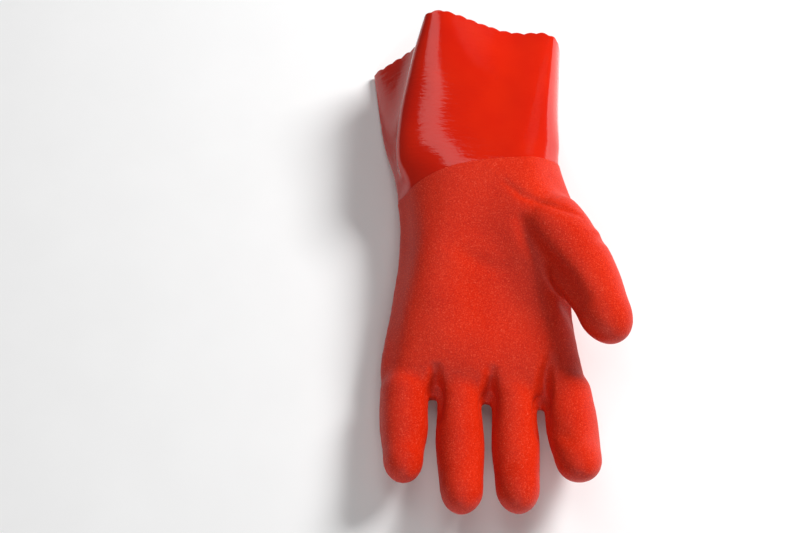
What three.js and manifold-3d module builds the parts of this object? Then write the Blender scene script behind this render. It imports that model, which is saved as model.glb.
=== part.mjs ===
// PVC coated work glove with a gauntlet cuff, the left hand of a pair.
// It lies palm up on a flat surface, keeps its own form, and is hollow from the mouth to the tips.
// Millimetres, +Z up. The mouth looks along +Y, the fingers along -Y, the thumb is on the +X side.
import * as THREE from 'three';
import { mergeVertices } from 'three/addons/utils/BufferGeometryUtils.js';
import Module from 'manifold-3d';

// Driving sizes of the cuff.
const CUFF_LENGTH = 82;
const MOUTH_WIDTH = 115;
const MOUTH_HEIGHT = 62;
const MOUTH_LEAN = 0.17; // how far the cut mouth leans back for each millimetre of height
const SCALLOP_DEPTH = 1.6;
const SCALLOP_PITCH = 7.5;

// Driving sizes of the wrist and the palm.
const WRIST_WIDTH = 95;
const WRIST_HEIGHT = 44;
const PALM_LENGTH = 142; // from the wrist line to the webs between the fingers
const PALM_WIDTH = 113;
const PALM_HEIGHT = 40;
const COAT_SWEEP = 17; // how much lower the rough coat ends on the little finger side
const COAT_RISE = 6; // and how much higher on the thumb side
const WEB_SLANT = 11; // how much nearer the wrist the web of the little finger is
const MOUND_HEIGHT = 7; // the ball of the thumb
const HOLLOW_DEPTH = 7; // the cup of the palm

// Driving sizes of the walls and of the lap joint at the wrist.
const WALL = 2;
const LAP = 7;
const LAP_LIP = 1; // thickness of each layer of the lap
const CLEARANCE = 0.3;

// Driving sizes of the fingers and the thumb, measured outside.
const FINGER_THICKNESS = 26;
const LITTLE_LENGTH = 69.5;
const RING_LENGTH = 89;
const MIDDLE_LENGTH = 89.5;
const INDEX_LENGTH = 76;
const THUMB_LENGTH = 106;
const LITTLE_WIDTH = 27;
const RING_WIDTH = 27;
const MIDDLE_WIDTH = 26.5;
const INDEX_WIDTH = 29;
const THUMB_WIDTH = 37.5;
const THUMB_THICKNESS = 33;

// How fine the faces are.
const DIGIT_SIDES = 14;
const DIGIT_STEPS = 6;
const DOME_STEPS = 3;
const RING_SPACING = 14;
const RING_MARGIN = 2; // no ring is nearer than this to the end of a lofted run

// Cross-sections of the cuff, from just above the wrist line to the mouth. Along y they are shares
// of the cuff's length, across they are shares of half the mouth's width, and heights are shares of
// the mouth's height. The left wall folds in by pinch between its foot and the ridge.
const CUFF_ROWS = [
  { y: 0.2, left: -0.86, ridge: -0.8, crown: -0.47, shoulder: 0.64, right: 0.85,
    footZ: 0.2, ridgeZ: 0.6, crownZ: 0.74, sagZ: 0.74, shoulderZ: 0.64, rightZ: 0.36, pinch: 0.01 },
  { y: 0.45, left: -0.965, ridge: -0.79, crown: -0.5, shoulder: 0.7, right: 0.85,
    footZ: 0.09, ridgeZ: 0.66, crownZ: 0.78, sagZ: 0.74, shoulderZ: 0.65, rightZ: 0.3, pinch: 0.06 },
  { y: 0.72, left: -1.03, ridge: -0.68, crown: -0.46, shoulder: 0.76, right: 0.87,
    footZ: 0.06, ridgeZ: 0.78, crownZ: 0.87, sagZ: 0.73, shoulderZ: 0.63, rightZ: 0.22, pinch: 0.12 },
  { y: 1, left: -1.08, ridge: -0.53, crown: -0.37, shoulder: 0.82, right: 0.9,
    footZ: 0.04, ridgeZ: 0.91, crownZ: 0.95, sagZ: 0.67, shoulderZ: 0.6, rightZ: 0.08, pinch: 0.17 },
];

// The cross-section at the wrist line, in shares of half the wrist's width and the wrist's height.
const WRIST_ROW = { y: 0, left: -0.99, ridge: -0.76, crown: -0.4, shoulder: 0.7, right: 1.01,
  footZ: 0.42, ridgeZ: 0.82, crownZ: 1, sagZ: 1, shoulderZ: 0.88, rightZ: 0.5, pinch: -0.03, lift: 0 };

// Cross-sections of the palm, from the wrist to the webs. Along y they are shares of the palm's
// length, across they are shares of half the palm's width, and heights are shares of its height.
const PALM_ROWS = [
  { y: -0.16, left: -0.82, ridge: -0.6, crown: -0.285, shoulder: 0.66, right: 0.97,
    footZ: 0.45, ridgeZ: 0.88, crownZ: 1.06, sagZ: 1.06, shoulderZ: 0.94, rightZ: 0.6, pinch: -0.03 },
  { y: -0.34, left: -0.83, ridge: -0.6, crown: -0.295, shoulder: 0.62, right: 0.99,
    footZ: 0.45, ridgeZ: 0.87, crownZ: 1.01, sagZ: 1.01, shoulderZ: 0.94, rightZ: 0.55, pinch: -0.03 },
  { y: -0.55, left: -0.89, ridge: -0.66, crown: -0.345, shoulder: 0.6, right: 0.91,
    footZ: 0.44, ridgeZ: 0.82, crownZ: 0.96, sagZ: 0.95, shoulderZ: 0.84, rightZ: 0.45, pinch: -0.03 },
  { y: -0.74, left: -0.97, ridge: -0.74, crown: -0.39, shoulder: 0.66, right: 0.95,
    footZ: 0.42, ridgeZ: 0.75, crownZ: 0.88, sagZ: 0.88, shoulderZ: 0.75, rightZ: 0.42, pinch: -0.03 },
  { y: -0.89, left: -1.01, ridge: -0.78, crown: -0.4, shoulder: 0.74, right: 1.01,
    footZ: 0.4, ridgeZ: 0.68, crownZ: 0.76, sagZ: 0.76, shoulderZ: 0.68, rightZ: 0.4, pinch: -0.02 },
  { y: -0.965, left: -1, ridge: -0.8, crown: -0.405, shoulder: 0.78, right: 1,
    footZ: 0.39, ridgeZ: 0.58, crownZ: 0.62, sagZ: 0.62, shoulderZ: 0.58, rightZ: 0.39, pinch: 0,
    lift: 0.06 },
  { y: -1, left: -0.94, ridge: -0.78, crown: -0.395, shoulder: 0.76, right: 0.9,
    footZ: 0.38, ridgeZ: 0.45, crownZ: 0.47, sagZ: 0.47, shoulderZ: 0.45, rightZ: 0.38, pinch: 0,
    lift: 0.25 },
];

// Swellings and dents of the palm side: centre and reach in shares of half the palm's width across
// and of the palm's length along, and the height that the surface rises by.
const SWELLINGS = [
  { x: 0.56, y: -0.24, reachX: 0.42, reachY: 0.22, rise: MOUND_HEIGHT },
  { x: 0.16, y: -0.58, reachX: 0.5, reachY: 0.26, rise: -HOLLOW_DEPTH },
  { x: -0.5, y: -0.38, reachX: 0.34, reachY: 0.3, rise: MOUND_HEIGHT * 0.3 },
  { x: 0.2, y: -0.155, reachX: 0.13, reachY: 0.035, rise: -HOLLOW_DEPTH * 0.14 },
];

// Fingers, from the little one to the index, and the thumb. The start is given in shares of half the
// palm's width, of the palm's length and of the palm's height. Splay turns a digit towards the
// thumb's side and curl lifts it, in degrees, at its root and at its tip. Root, base and tip are
// shares of its full width: where it starts inside the palm, where it leaves it and at its end.
const FINGERS = [
  { x: -0.77, y: -0.83, z: 0.4, length: LITTLE_LENGTH, width: LITTLE_WIDTH, root: 0.62, base: 1.02,
    tip: 0.82, splayRoot: -1, splayTip: 0, curlRoot: 0, curlTip: 40 },
  { x: -0.235, y: -0.83, z: 0.4, length: RING_LENGTH, width: RING_WIDTH, root: 0.62, base: 0.91,
    tip: 0.86, splayRoot: 0, splayTip: 0, curlRoot: 0, curlTip: 44 },
  { x: 0.3, y: -0.83, z: 0.4, length: MIDDLE_LENGTH, width: MIDDLE_WIDTH, root: 0.62, base: 0.94,
    tip: 0.91, splayRoot: 0, splayTip: -1, curlRoot: 0, curlTip: 50 },
  { x: 0.8, y: -0.83, z: 0.4, length: INDEX_LENGTH, width: INDEX_WIDTH, root: 0.62, base: 0.93,
    tip: 0.89, splayRoot: 5, splayTip: 1, curlRoot: 4, curlTip: 66 },
];
const THUMB = { x: 0.46, y: -0.15, z: 0.66, length: THUMB_LENGTH, width: THUMB_WIDTH, root: 0.8,
  base: 1.16, tip: 0.8, splayRoot: 41, splayTip: 7, curlRoot: 12, curlTip: 6 };
const WIDTH_STOPS = [0, 0.25, 0.6, 1]; // where along a digit the root, base, full and tip widths are
const DOME_STRETCH = 1.35; // how much longer the end of a digit is than a half ball

// Shares that place the corners of every cross-section between the columns of the tables.
const FOOT_RUN = 0.8; // how far in the flat underside starts on the left, in foot heights
const UNDERSIDE_RUN = 0.6; // and on the right, in heights of the right side
const SAG_PLACE = 0.65; // between the ridge and the shoulder
const PALM_SIDE = [0.5, 0.95]; // shares of the crown's height where swellings start and are full

// How the border of the coat runs across the wrist, in shares of half the wrist's width, and how far
// its sweep is felt, in shares of the cuff's length.
const SWEEP_START = 0.35;
const RISE_START = -0.1;
const SWEEP_REACH = 0.8;

const wasm = await Module();
wasm.setup();

// A value part of the way from a to b.
function mix(a, b, share) {
  return a + (b - a) * share;
}

// A table row turned into millimetres with the sizes of its zone.
function rowInMillimetres(row, length, width, height) {
  const half = width / 2;
  const scale = { y: length, left: half, ridge: half, crown: half, shoulder: half, right: half,
    pinch: half };
  const result = {};
  for (const column of Object.keys(WRIST_ROW)) {
    result[column] = (row[column] ?? 0) * (scale[column] ?? height);
  }
  return result;
}

// All cross-sections from the mouth to the webs.
const BODY_ROWS = [
  ...CUFF_ROWS.map((row) => rowInMillimetres(row, CUFF_LENGTH, MOUTH_WIDTH, MOUTH_HEIGHT)).reverse(),
  rowInMillimetres(WRIST_ROW, 0, WRIST_WIDTH, WRIST_HEIGHT),
  ...PALM_ROWS.map((row) => rowInMillimetres(row, PALM_LENGTH, PALM_WIDTH, PALM_HEIGHT)),
];

// The row at any station along the glove, on a smooth curve through the rows of the tables.
function rowAt(station) {
  const last = BODY_ROWS.length - 1;
  let index = 0;
  while (index < last - 1 && station < BODY_ROWS[index + 1].y) {
    index += 1;
  }
  const [before, from, to, after] = [index - 1, index, index + 1, index + 2]
    .map((i) => BODY_ROWS[Math.min(Math.max(i, 0), last)]);
  const span = to.y - from.y;
  const share = (station - from.y) / span;
  const result = { y: station };
  for (const column of Object.keys(WRIST_ROW)) {
    if (column === 'y') continue;
    const slopeFrom = (to[column] - before[column]) / (to.y - before.y) * span;
    const slopeTo = (after[column] - from[column]) / (after.y - from.y) * span;
    result[column] = hermite(from[column], to[column], slopeFrom, slopeTo, share);
  }
  return result;
}

// A cubic from one value to the next with the given slopes.
function hermite(from, to, slopeFrom, slopeTo, share) {
  const square = share * share;
  const cube = square * share;
  return from * (2 * cube - 3 * square + 1) + slopeFrom * (cube - 2 * square + share)
    + to * (3 * square - 2 * cube) + slopeTo * (cube - square);
}

// The mouth's outline sets how many corners every ring has, two for each scallop. Its way round is
// twice its width and, for the two leaning sides, a little more than its height.
const MOUTH_GIRTH = 2 * MOUTH_WIDTH + 1.2 * MOUTH_HEIGHT;
const RING_CORNERS = 2 * Math.round(MOUTH_GIRTH / SCALLOP_PITCH);

// The outline of one cross-section: a smooth closed line through ten named places.
function outlineAt(station) {
  const row = rowAt(station);
  const places = [
    [mix(row.left, row.right, 0.5), row.lift],
    [row.left + row.footZ * FOOT_RUN, row.lift],
    [row.left, row.footZ],
    [mix(row.left, row.ridge, 0.5) + row.pinch, mix(row.footZ, row.ridgeZ, 0.5)],
    [row.ridge, row.ridgeZ],
    [row.crown, row.crownZ],
    [mix(row.ridge, row.shoulder, SAG_PLACE), row.sagZ],
    [row.shoulder, row.shoulderZ],
    [row.right, row.rightZ],
    [row.right - row.rightZ * UNDERSIDE_RUN, row.lift],
  ].map(([x, z]) => new THREE.Vector3(x, station, z));
  const curve = new THREE.CatmullRomCurve3(places, true, 'centripetal');
  const outline = curve.getSpacedPoints(RING_CORNERS).slice(0, RING_CORNERS);
  return outline.map((point) => raisedBySwellings(point, row));
}

// A point of the outline after the swellings and dents of the palm side, flat where it would sink
// into the surface that the glove rests on.
function raisedBySwellings(point, row) {
  const half = PALM_WIDTH / 2;
  const [from, to] = PALM_SIDE.map((share) => row.crownZ * share);
  const upward = THREE.MathUtils.smoothstep(point.z, from, to);
  for (const swelling of SWELLINGS) {
    const across = (point.x - swelling.x * half) / (swelling.reachX * half);
    const along = (point.y - swelling.y * PALM_LENGTH) / (swelling.reachY * PALM_LENGTH);
    point.z += swelling.rise * upward * Math.exp(-across * across - along * along);
  }
  point.z = Math.max(point.z, 0);
  return point;
}

// The outline moved into the wall by a depth, square to itself, and never below that depth.
function insetOutline(outline, depth) {
  if (depth === 0) return outline.map((point) => point.clone());
  const count = outline.length;
  const inset = outline.map((point, i) => {
    const before = outline[(i + count - 1) % count];
    const after = outline[(i + 1) % count];
    const along = new THREE.Vector2(after.x - before.x, after.z - before.z).normalize();
    const x = point.x + along.y * depth;
    const z = point.z - along.x * depth;
    return new THREE.Vector3(x, point.y, Math.max(z, depth));
  });
  const clear = inset.map((point) => distanceToOutline(point, outline) > depth * 0.9);
  return inset.map((point, i) => (clear[i] ? point : betweenClear(inset, clear, i)));
}

// In a fold sharper than the wall the inset points cross, so they are spread between the nearest
// ones on either side that keep the whole wall.
function betweenClear(inset, clear, i) {
  const count = inset.length;
  let back = 1;
  while (!clear[(i + count - back) % count]) back += 1;
  let ahead = 1;
  while (!clear[(i + ahead) % count]) ahead += 1;
  return inset[(i + count - back) % count].clone().lerp(inset[(i + ahead) % count], back / (back + ahead));
}

// The shortest way from a point to the closed outline.
function distanceToOutline(point, outline) {
  const side = new THREE.Line3();
  const foot = new THREE.Vector3();
  let shortest = Infinity;
  outline.forEach((corner, i) => {
    side.set(corner, outline[(i + 1) % outline.length]);
    side.closestPointToPoint(point, true, foot);
    shortest = Math.min(shortest, foot.distanceTo(point));
  });
  return shortest;
}

// How far the wrist line and the mouth move a ring's point along the glove.
function shiftAlong(point, station) {
  const half = WRIST_WIDTH / 2;
  const across = point.x / half;
  const lowSide = THREE.MathUtils.clamp((SWEEP_START - across) / (1 + SWEEP_START), 0, 1);
  const highSide = THREE.MathUtils.clamp((across - RISE_START) / (1 - RISE_START), 0, 1);
  const fade = THREE.MathUtils.clamp(1 - Math.abs(station) / (SWEEP_REACH * CUFF_LENGTH), 0, 1);
  const sweep = (COAT_RISE * highSide * highSide - COAT_SWEEP * lowSide * lowSide) * fade;
  const towardMouth = Math.max(station / CUFF_LENGTH, 0);
  const towardWebs = THREE.MathUtils.clamp(-station / PALM_LENGTH, 0, 1);
  const littleSide = THREE.MathUtils.clamp(0.5 - point.x / PALM_WIDTH, 0, 1);
  return sweep + MOUTH_LEAN * point.z * towardMouth ** 2 + WEB_SLANT * littleSide * towardWebs ** 3;
}

// One ring of the glove's body at a station, inset into the wall.
function bodyRing(station, inset, scallop = 0) {
  const ring = insetOutline(outlineAt(station), inset);
  ring.forEach((point, i) => {
    const wave = i % 2 === 0 ? -scallop / 2 : scallop / 2;
    point.y += shiftAlong(point, station) + wave;
  });
  return ring;
}

// A closed solid skinned over a list of rings, with a flat or pointed cap at both ends.
function skin(rings, loops = false) {
  const positions = [];
  const indices = [];
  const corners = rings[0].length;
  rings.forEach((ring) => ring.forEach((p) => positions.push(p.x, p.y, p.z)));
  const joins = loops ? rings.length : rings.length - 1;
  for (let j = 0; j < joins; j += 1) {
    const here = j * corners;
    const next = ((j + 1) % rings.length) * corners;
    for (let i = 0; i < corners; i += 1) {
      const k = (i + 1) % corners;
      indices.push(here + i, here + k, next + k, here + i, next + k, next + i);
    }
  }
  if (!loops) {
    capRing(rings[0], 0, true, positions, indices);
    capRing(rings[rings.length - 1], (rings.length - 1) * corners, false, positions, indices);
  }
  const geometry = new THREE.BufferGeometry();
  geometry.setAttribute('position', new THREE.Float32BufferAttribute(positions, 3));
  geometry.setIndex(indices);
  return geometry;
}

// A fan from the middle of a ring closes the end of a solid.
function capRing(ring, start, first, positions, indices) {
  const middle = ring.reduce((sum, p) => sum.add(p), new THREE.Vector3()).divideScalar(ring.length);
  const hub = positions.length / 3;
  positions.push(middle.x, middle.y, middle.z);
  for (let i = 0; i < ring.length; i += 1) {
    const k = (i + 1) % ring.length;
    if (first) indices.push(hub, start + k, start + i);
    else indices.push(hub, start + i, start + k);
  }
}

// A geometry turned into a solid for joining and cutting, with its faces pointing out.
function solidOf(geometry) {
  const merged = mergeVertices(geometry, 1e-4);
  const signed = signedVolume(merged);
  const triVerts = Uint32Array.from(merged.index.array);
  if (signed < 0) {
    for (let i = 0; i < triVerts.length; i += 3) {
      [triVerts[i + 1], triVerts[i + 2]] = [triVerts[i + 2], triVerts[i + 1]];
    }
  }
  const vertProperties = Float32Array.from(merged.attributes.position.array);
  return new wasm.Manifold(new wasm.Mesh({ numProp: 3, vertProperties, triVerts }));
}

// Volume with a sign: negative where the faces point in.
function signedVolume(geometry) {
  const position = geometry.attributes.position;
  const [a, b, c] = [new THREE.Vector3(), new THREE.Vector3(), new THREE.Vector3()];
  let sum = 0;
  for (let i = 0; i < geometry.index.count; i += 3) {
    [a, b, c].forEach((v, n) => v.fromBufferAttribute(position, geometry.index.getX(i + n)));
    sum += a.dot(b.clone().cross(c)) / 6;
  }
  return sum;
}

// A solid turned back into a three.js geometry.
function geometryOf(solid) {
  const mesh = solid.getMesh();
  const geometry = new THREE.BufferGeometry();
  const positions = Float32Array.from(mesh.vertProperties);
  geometry.setAttribute('position', new THREE.BufferAttribute(positions, 3));
  geometry.setIndex(new THREE.BufferAttribute(Uint32Array.from(mesh.triVerts), 1));
  return geometry;
}

// The stations of a run of table rows, with extra rings between them.
function stationsBetween(high, low) {
  const stations = [];
  for (let i = 0; i < BODY_ROWS.length - 1; i += 1) {
    const from = BODY_ROWS[i].y;
    const to = BODY_ROWS[i + 1].y;
    const steps = Math.max(Math.round((from - to) / RING_SPACING), 1);
    for (let step = 0; step < steps; step += 1) {
      stations.push(mix(from, to, step / steps));
    }
  }
  stations.push(BODY_ROWS[BODY_ROWS.length - 1].y);
  return stations.filter((place) => place < high - RING_MARGIN && place > low + RING_MARGIN);
}

// The centre line of a digit, bent up by its curl, as a list of places with directions.
function digitAxis(digit) {
  const steps = DIGIT_STEPS * 2;
  const axis = [];
  const place = new THREE.Vector3(digit.x * PALM_WIDTH / 2, digit.y * PALM_LENGTH,
    digit.z * PALM_HEIGHT);
  for (let i = 0; i <= steps; i += 1) {
    const share = i / steps;
    const curl = THREE.MathUtils.degToRad(mix(digit.curlRoot, digit.curlTip, share * share));
    const splay = THREE.MathUtils.degToRad(mix(digit.splayRoot, digit.splayTip, share));
    const flat = Math.cos(curl);
    const direction = new THREE.Vector3(Math.sin(splay) * flat, -Math.cos(splay) * flat, Math.sin(curl));
    axis.push({ place: place.clone(), direction });
    place.addScaledVector(direction, digit.length / steps);
  }
  return axis;
}

// Where the digit's centre line is at a distance from its start.
function axisAt(axis, length, distance) {
  const position = THREE.MathUtils.clamp(distance / length, 0, 1) * (axis.length - 1);
  const index = Math.min(Math.floor(position), axis.length - 2);
  const share = position - index;
  return {
    place: axis[index].place.clone().lerp(axis[index + 1].place, share),
    direction: axis[index].direction.clone().lerp(axis[index + 1].direction, share).normalize(),
  };
}

// How wide a digit is at a share of its length, from its root, base, full and tip widths.
function widthShare(digit, along) {
  const widths = [digit.root, digit.base, 1, digit.tip];
  let i = 0;
  while (i < 2 && along > WIDTH_STOPS[i + 1]) i += 1;
  const share = THREE.MathUtils.smoothstep(along, WIDTH_STOPS[i], WIDTH_STOPS[i + 1]);
  return mix(widths[i], widths[i + 1], share);
}

// One finger or the thumb: oval rings along its centre line and a round end, inset into the wall.
function digitSolid(digit, thickness, inset) {
  const axis = digitAxis(digit);
  const dome = DOME_STRETCH * digit.width * digit.tip / 2;
  const domeStart = digit.length - dome;
  const sections = [];
  for (let i = 0; i <= DIGIT_STEPS; i += 1) {
    sections.push({ distance: domeStart * i / DIGIT_STEPS, round: 1 });
  }
  for (let i = 1; i <= DOME_STEPS; i += 1) {
    const angle = (Math.PI / 2) * i / (DOME_STEPS + 0.35);
    sections.push({ distance: domeStart + (dome - inset) * Math.sin(angle), round: Math.cos(angle) });
  }
  const rings = sections.map(({ distance, round }) => {
    const { place, direction } = axisAt(axis, digit.length, distance);
    const across = new THREE.Vector3(-direction.y, direction.x, 0).normalize();
    const upward = across.clone().cross(direction).normalize().multiplyScalar(-1);
    const slim = widthShare(digit, Math.min(distance / domeStart, 1));
    const halfWidth = (digit.width * slim / 2 - inset) * round;
    const halfThick = (thickness * slim / 2 - inset) * round;
    return digitRing(place, across, upward, halfWidth, halfThick, inset);
  });
  return solidOf(skin(rings));
}

// One oval ring of a digit, kept above the surface that the glove rests on.
function digitRing(place, across, upward, halfWidth, halfThick, floor) {
  const ring = [];
  for (let i = 0; i < DIGIT_SIDES; i += 1) {
    const angle = 2 * Math.PI * i / DIGIT_SIDES;
    const point = place.clone()
      .addScaledVector(across, Math.cos(angle) * halfWidth)
      .addScaledVector(upward, Math.sin(angle) * halfThick);
    point.z = Math.max(point.z, floor);
    ring.push(point);
  }
  return ring;
}

// The fingers and the thumb, joined to a body solid.
function withDigits(body, inset) {
  let solid = body;
  for (const finger of FINGERS) {
    solid = solid.add(digitSolid(finger, FINGER_THICKNESS, inset));
  }
  return solid.add(digitSolid(THUMB, THUMB_THICKNESS, inset));
}

// The hand: palm, back, fingers and thumb in one piece, open at the wrist.
function handCoat() {
  const webs = BODY_ROWS[BODY_ROWS.length - 1].y;
  const outerStations = [0, ...stationsBetween(0, webs), webs];
  const outer = skin(outerStations.map((station) => bodyRing(station, 0)));
  const lapFoot = -LAP - CLEARANCE;
  const innerRings = [bodyRing(WALL, LAP_LIP), bodyRing(0, LAP_LIP), bodyRing(lapFoot, LAP_LIP)];
  const stations = stationsBetween(lapFoot, webs);
  for (const station of [lapFoot, ...stations, webs + WALL]) {
    innerRings.push(bodyRing(station, WALL));
  }
  const inner = skin(innerRings);
  return geometryOf(withDigits(solidOf(outer), 0).subtract(withDigits(solidOf(inner), WALL)));
}

// The gauntlet cuff: an open sleeve whose thin lower lip slips into the rim of the hand.
function gauntletCuff() {
  const lipOuter = LAP_LIP + CLEARANCE;
  const lipInner = 2 * LAP_LIP + CLEARANCE;
  const stations = stationsBetween(CUFF_LENGTH, CLEARANCE).reverse();
  const rings = [bodyRing(-LAP, lipOuter), bodyRing(CLEARANCE, lipOuter), bodyRing(CLEARANCE, 0)];
  stations.forEach((station) => rings.push(bodyRing(station, 0)));
  rings.push(bodyRing(CUFF_LENGTH, 0, SCALLOP_DEPTH));
  rings.push(bodyRing(CUFF_LENGTH, WALL, SCALLOP_DEPTH));
  stations.reverse().forEach((station) => rings.push(bodyRing(station, WALL)));
  rings.push(bodyRing(2 * CLEARANCE, lipInner));
  rings.push(bodyRing(-LAP, lipInner));
  return geometryOf(solidOf(skin(rings, true)));
}

// The rough vinyl of the hand and the smooth vinyl of the cuff.
const sandyVinyl = new THREE.MeshStandardMaterial({ color: 0xd2301a, roughness: 0.8, metalness: 0 });
const glossVinyl = new THREE.MeshStandardMaterial({ color: 0xd32206, roughness: 0.22, metalness: 0 });

const hand = new THREE.Mesh(handCoat(), sandyVinyl);
hand.name = 'hand_coat';
const cuff = new THREE.Mesh(gauntletCuff(), glossVinyl);
cuff.name = 'gauntlet_cuff';

// The origin is the middle of the glove's box, on the surface that it rests on.
const glove = new THREE.Group();
glove.add(hand, cuff);
const box = new THREE.Box3().setFromObject(glove, true);
const centre = box.getCenter(new THREE.Vector3());
glove.position.set(-centre.x, -centre.y, -box.min.z);
glove.updateMatrixWorld(true);

const group = new THREE.Group();
group.add(glove);

export default group;
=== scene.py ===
# %% [markdown]
# A PVC coated work glove, lying palm up
#
# The real glove is a cotton liner on a metal hand, dipped in liquid PVC. The whole of it gets one
# smooth coat, and the hand is dipped again in PVC with grit in it. So it has two finishes: a rough,
# matt hand and a smooth, shiny gauntlet cuff, with a crisp line where the second dip ends.
#
# This lesson builds both as hollow shells around a model that was made to its real size in CAD. That
# model has the same two pieces and gives the place of each, and here they get their fine surface.

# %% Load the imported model
import math

import bpy
import numpy as np
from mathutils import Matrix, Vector
from mathutils.bvhtree import BVHTree


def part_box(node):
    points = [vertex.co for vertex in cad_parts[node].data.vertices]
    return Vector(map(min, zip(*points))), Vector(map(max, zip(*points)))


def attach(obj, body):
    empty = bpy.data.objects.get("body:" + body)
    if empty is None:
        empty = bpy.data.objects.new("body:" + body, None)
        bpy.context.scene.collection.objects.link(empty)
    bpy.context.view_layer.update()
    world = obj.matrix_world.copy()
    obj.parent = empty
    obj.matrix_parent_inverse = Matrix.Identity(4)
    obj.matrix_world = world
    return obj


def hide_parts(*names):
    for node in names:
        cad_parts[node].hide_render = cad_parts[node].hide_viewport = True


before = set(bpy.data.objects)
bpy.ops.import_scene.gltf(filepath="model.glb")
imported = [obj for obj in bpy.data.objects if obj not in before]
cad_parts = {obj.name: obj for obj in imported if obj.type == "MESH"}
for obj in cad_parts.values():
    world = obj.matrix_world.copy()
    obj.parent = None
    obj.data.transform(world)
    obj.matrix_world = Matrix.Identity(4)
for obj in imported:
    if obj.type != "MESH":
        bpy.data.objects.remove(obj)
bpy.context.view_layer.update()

MM = 0.001  # shapes are worked out in millimetres and turned to metres when they are finished
print("nodes", sorted(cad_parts))

# %% [markdown]
# The camera
#
# The picture looks down on the palm from about 65 degrees, from the fingertips' side. The glove lies
# to the right of the picture's middle, so the camera aims at a spot on the floor beside it. A camera
# could be aimed with a constraint, but a turn about one axis is enough here: it is tipped back from
# looking straight down by what is missing to a right angle.

# %% Place the camera
ELEVATION = math.radians(65)
CAMERA_DISTANCE = 0.85
AIM = Vector((-0.0555, 0.0090, 0.0))
FIELD_OF_VIEW = math.radians(30.97)  # across the picture's 800 pixels

sight = Vector((0.0, -math.cos(ELEVATION), math.sin(ELEVATION)))
camera = bpy.data.objects.new("camera", bpy.data.cameras.new("camera"))
camera.data.sensor_fit = "HORIZONTAL"
camera.data.angle = FIELD_OF_VIEW
camera.location = AIM + sight * CAMERA_DISTANCE
camera.rotation_euler = (math.pi / 2 - ELEVATION, 0.0, 0.0)
bpy.context.scene.collection.objects.link(camera)
bpy.context.scene.camera = camera
print("camera at", [round(value, 3) for value in camera.location])

# %% [markdown]
# The glove's cross-sections
#
# A dipped glove has no flat panels and no seams. Its form can be sculpted, or made with a lattice, or
# lofted. Lofting suits it best, because a few cross-sections say all that matters: how wide and high
# the glove is at that place, how its left wall folds in, and where its back lies flat on the table.
#
# Every row below is one cross-section. The wrist line is y = 0, the mouth is at +y and the webs of
# the fingers are at -y. Lengths are shares of named sizes, and a smooth curve runs through the rows.

# %% Sizes and tables
CUFF_LENGTH = 82.0
MOUTH_WIDTH = 115.0
MOUTH_HEIGHT = 62.0
MOUTH_LEAN = 0.17  # how far the mouth's upper edge reaches out, as a share of its height
WRIST_WIDTH = 95.0
WRIST_HEIGHT = 44.0
PALM_LENGTH = 142.0
PALM_WIDTH = 113.0
PALM_HEIGHT = 40.0
COAT_SWEEP = 17.0  # how much lower the rough coat ends on the little finger's side
COAT_RISE = 6.0  # and how much higher on the thumb's side
WEB_SLANT = 11.0  # how much nearer to the wrist the webs lie on the little finger's side
WALL = 2.0
LAP = 7.0  # how far the rough coat and the smooth one lie over each other

COLUMNS = ("y", "left", "ridge", "crown", "shoulder", "right", "foot_z", "ridge_z", "crown_z",
           "sag_z", "shoulder_z", "right_z", "pinch", "lift")
CUFF_ROWS = (  # shares of the cuff's length, half the mouth's width and the mouth's height
    (1.00, -1.08, -0.53, -0.37, 0.82, 0.90, 0.04, 0.91, 0.95, 0.67, 0.60, 0.08, 0.17, 0.0),
    (0.72, -1.03, -0.68, -0.46, 0.76, 0.87, 0.06, 0.78, 0.87, 0.73, 0.63, 0.22, 0.12, 0.0),
    (0.45, -0.965, -0.79, -0.50, 0.70, 0.85, 0.09, 0.66, 0.78, 0.74, 0.65, 0.30, 0.06, 0.0),
    (0.20, -0.86, -0.80, -0.47, 0.64, 0.85, 0.20, 0.60, 0.74, 0.74, 0.64, 0.36, 0.01, 0.0),
)
WRIST_ROW = (0.0, -0.99, -0.76, -0.40, 0.70, 1.01, 0.42, 0.82, 1.0, 1.0, 0.88, 0.50, -0.03, 0.0)
PALM_ROWS = (  # shares of the palm's length, half its width and its height
    (-0.16, -0.82, -0.60, -0.285, 0.66, 0.97, 0.45, 0.88, 1.06, 1.06, 0.94, 0.60, -0.03, 0.0),
    (-0.34, -0.83, -0.60, -0.295, 0.62, 0.99, 0.45, 0.87, 1.01, 1.01, 0.94, 0.55, -0.03, 0.0),
    (-0.55, -0.89, -0.66, -0.345, 0.60, 0.91, 0.44, 0.82, 0.96, 0.95, 0.84, 0.45, -0.03, 0.0),
    (-0.74, -0.97, -0.74, -0.39, 0.66, 0.95, 0.42, 0.75, 0.88, 0.88, 0.75, 0.42, -0.03, 0.0),
    (-0.89, -1.01, -0.78, -0.40, 0.74, 1.01, 0.40, 0.68, 0.76, 0.76, 0.68, 0.40, -0.02, 0.0),
    (-0.965, -1.00, -0.80, -0.405, 0.78, 1.00, 0.39, 0.58, 0.62, 0.62, 0.58, 0.39, 0.0, 0.06),
    (-1.00, -0.94, -0.78, -0.395, 0.76, 0.90, 0.38, 0.45, 0.47, 0.47, 0.45, 0.38, 0.0, 0.25),
)


def in_millimetres(row, length, width, height):
    """A table row in millimetres: lengths along, then half widths across, then heights."""
    half = width / 2
    scales = [length] + [half] * 5 + [height] * 6 + [half, height]
    return [share * scale for share, scale in zip(row, scales)]


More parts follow.
